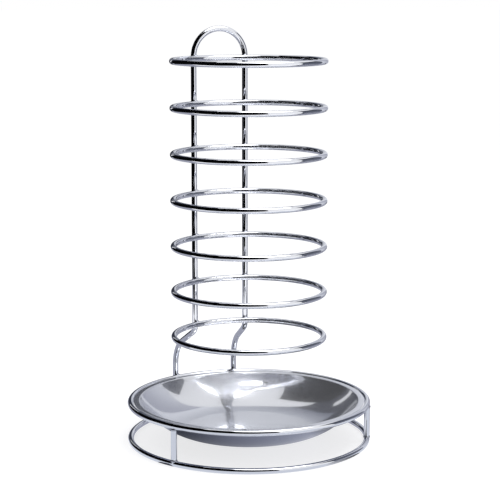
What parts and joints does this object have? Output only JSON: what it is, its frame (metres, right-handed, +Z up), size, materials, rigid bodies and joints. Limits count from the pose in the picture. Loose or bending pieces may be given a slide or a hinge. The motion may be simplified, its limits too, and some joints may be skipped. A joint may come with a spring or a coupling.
{
  "type": "fruit tower",
  "caption": "Chromed wire fruit tower: a column of hoops on a bent back upright with a carrying loop, over a lift-out steel bowl in a round wire base.",
  "frame": {"origin": "on the table, on the common axis of the rings and hoops", "axes": "+Z up along the column of hoops, -Y to the front, +Y to the upright, +X to the right seen from the front"},
  "size_m": [0.2514, 0.2535, 0.425],
  "materials": {
    "chrome_wire": "bright mirror chrome plate on round steel wire",
    "weld_metal": "chrome plate over small rounded weld beads, a little less even than the wire",
    "bowl_steel": "stainless sheet, polished inside and satin blue-grey underneath"
  },
  "bodies": {
    "wire_frame": {"floor_ring": "chrome_wire", "bowl_ring": "chrome_wire", "post_left": "chrome_wire", "post_right": "chrome_wire", "back_upright": "chrome_wire", "hoop_1": "chrome_wire", "hoop_2": "chrome_wire", "hoop_3": "chrome_wire", "hoop_4": "chrome_wire", "hoop_5": "chrome_wire", "hoop_6": "chrome_wire", "hoop_7": "chrome_wire", "hoop_1_weld_left": "weld_metal", "hoop_1_weld_right": "weld_metal", "hoop_2_weld_left": "weld_metal", "hoop_2_weld_right": "weld_metal", "hoop_3_weld_left": "weld_metal", "hoop_3_weld_right": "weld_metal", "hoop_4_weld_left": "weld_metal", "hoop_4_weld_right": "weld_metal", "hoop_5_weld_left": "weld_metal", "hoop_5_weld_right": "weld_metal", "hoop_6_weld_left": "weld_metal", "hoop_6_weld_right": "weld_metal", "hoop_7_weld_left": "weld_metal", "hoop_7_weld_right": "weld_metal", "floor_ring_weld_left": "weld_metal", "floor_ring_weld_right": "weld_metal", "bowl_ring_weld_left": "weld_metal", "bowl_ring_weld_right": "weld_metal", "post_left_bottom_weld": "weld_metal", "post_left_top_weld": "weld_metal", "post_right_bottom_weld": "weld_metal", "post_right_top_weld": "weld_metal"},
    "bowl": {"fruit_bowl": "bowl_steel"}
  },
  "joints": [
    {"name": "bowl_lift_out", "type": "slide", "parent": "wire_frame", "child": "bowl", "axis": [0, -0.5736, 0.8192], "range_m": [0, 0.06]}
  ]
}
